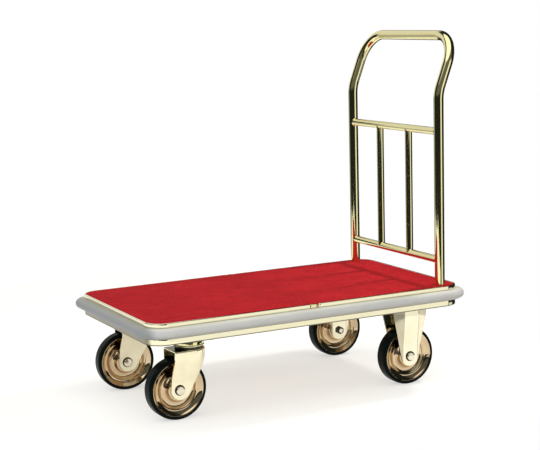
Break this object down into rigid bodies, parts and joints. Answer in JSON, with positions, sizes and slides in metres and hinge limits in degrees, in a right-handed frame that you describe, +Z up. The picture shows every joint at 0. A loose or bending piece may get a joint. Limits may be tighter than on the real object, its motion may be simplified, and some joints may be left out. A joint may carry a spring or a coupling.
{
  "type": "hotel luggage cart",
  "caption": "Low hotel luggage cart with a carpeted deck in a polished brass edge frame, a wrap-round rubber bumper, a tubular push handle, and swivel and fixed disc-wheel casters.",
  "frame": {"origin": "on the floor, under the centre of the rectangle that the bumper's outermost faces bound", "axes": "+X along the deck towards the push handle, +Y across the deck, +Z up"},
  "size_m": [0.9126, 0.5216, 0.8998],
  "materials": {
    "polished_brass": "mirror-polished brass plating",
    "bronze_disc": "polished bronze-toned pressed steel",
    "zinc_steel": "satin zinc plating",
    "dark_steel": "dark oiled steel",
    "carpet_red": "short cut pile",
    "plywood": "plain, unvarnished",
    "bumper_grey": "smooth satin extrusion",
    "black_rubber": "smooth, slightly glossy moulding"
  },
  "bodies": {
    "platform": {"deck_board": "plywood", "carpet": "carpet_red", "edge_frame": "polished_brass", "front_edge_trim": "polished_brass", "rear_edge_trim": "polished_brass", "left_trim_cover": "polished_brass", "right_trim_cover": "polished_brass", "bumper": "bumper_grey", "front_caster_rail": "zinc_steel", "rear_caster_rail": "zinc_steel", "handle_tube": "polished_brass", "upper_crossbar": "polished_brass", "lower_crossbar": "polished_brass", "left_baluster": "polished_brass", "right_baluster": "polished_brass", "left_handle_saddle": "zinc_steel", "left_handle_bolt": "zinc_steel", "right_handle_saddle": "zinc_steel", "right_handle_bolt": "zinc_steel", "front_left_mounting_plate": "zinc_steel", "front_left_race_ring": "polished_brass", "front_left_kingpin": "zinc_steel", "front_right_mounting_plate": "zinc_steel", "front_right_race_ring": "polished_brass", "front_right_kingpin": "zinc_steel", "rear_left_fork": "polished_brass", "rear_left_axle_bolt": "zinc_steel", "rear_left_axle_washer": "dark_steel", "rear_left_axle_nut": "zinc_steel", "rear_right_fork": "polished_brass", "rear_right_axle_bolt": "zinc_steel", "rear_right_axle_washer": "dark_steel", "rear_right_axle_nut": "zinc_steel"},
    "front_left_swivel": {"front_left_ball_cage": "dark_steel", "front_left_yoke": "polished_brass", "front_left_axle_bolt": "zinc_steel", "front_left_axle_washer": "dark_steel", "front_left_axle_nut": "zinc_steel"},
    "front_right_swivel": {"front_right_ball_cage": "dark_steel", "front_right_yoke": "polished_brass", "front_right_axle_bolt": "zinc_steel", "front_right_axle_washer": "dark_steel", "front_right_axle_nut": "zinc_steel"},
    "front_left_wheel": {"front_left_outer_wheel_disc": "bronze_disc", "front_left_inner_wheel_disc": "bronze_disc", "front_left_wheel_hub": "bronze_disc", "front_left_tyre": "black_rubber"},
    "front_right_wheel": {"front_right_outer_wheel_disc": "bronze_disc", "front_right_inner_wheel_disc": "bronze_disc", "front_right_wheel_hub": "bronze_disc", "front_right_tyre": "black_rubber"},
    "rear_left_wheel": {"rear_left_outer_wheel_disc": "bronze_disc", "rear_left_inner_wheel_disc": "bronze_disc", "rear_left_wheel_hub": "bronze_disc", "rear_left_tyre": "black_rubber"},
    "rear_right_wheel": {"rear_right_outer_wheel_disc": "bronze_disc", "rear_right_inner_wheel_disc": "bronze_disc", "rear_right_wheel_hub": "bronze_disc", "rear_right_tyre": "black_rubber"}
  },
  "joints": [
    {"name": "front_left_swivel_turn", "type": "hinge", "parent": "platform", "child": "front_left_swivel", "pos_m": [-0.3065, -0.161, 0.185], "axis": [0, 0, 1], "continuous": true},
    {"name": "front_right_swivel_turn", "type": "hinge", "parent": "platform", "child": "front_right_swivel", "pos_m": [-0.3065, 0.161, 0.185], "axis": [0, 0, 1], "continuous": true},
    {"name": "front_left_wheel_spin", "type": "hinge", "parent": "front_left_swivel", "child": "front_left_wheel", "pos_m": [-0.34449, -0.1618, 0.075], "axis": [-0.0209, 0.9998, 0], "continuous": true},
    {"name": "front_right_wheel_spin", "type": "hinge", "parent": "front_right_swivel", "child": "front_right_wheel", "pos_m": [-0.34441, 0.16358, 0.075], "axis": [0.068, 0.9977, 0], "continuous": true},
    {"name": "rear_left_wheel_spin", "type": "hinge", "parent": "platform", "child": "rear_left_wheel", "pos_m": [0.294, -0.181, 0.075], "axis": [0, 1, 0], "continuous": true},
    {"name": "rear_right_wheel_spin", "type": "hinge", "parent": "platform", "child": "rear_right_wheel", "pos_m": [0.294, 0.181, 0.075], "axis": [0, 1, 0], "continuous": true}
  ]
}
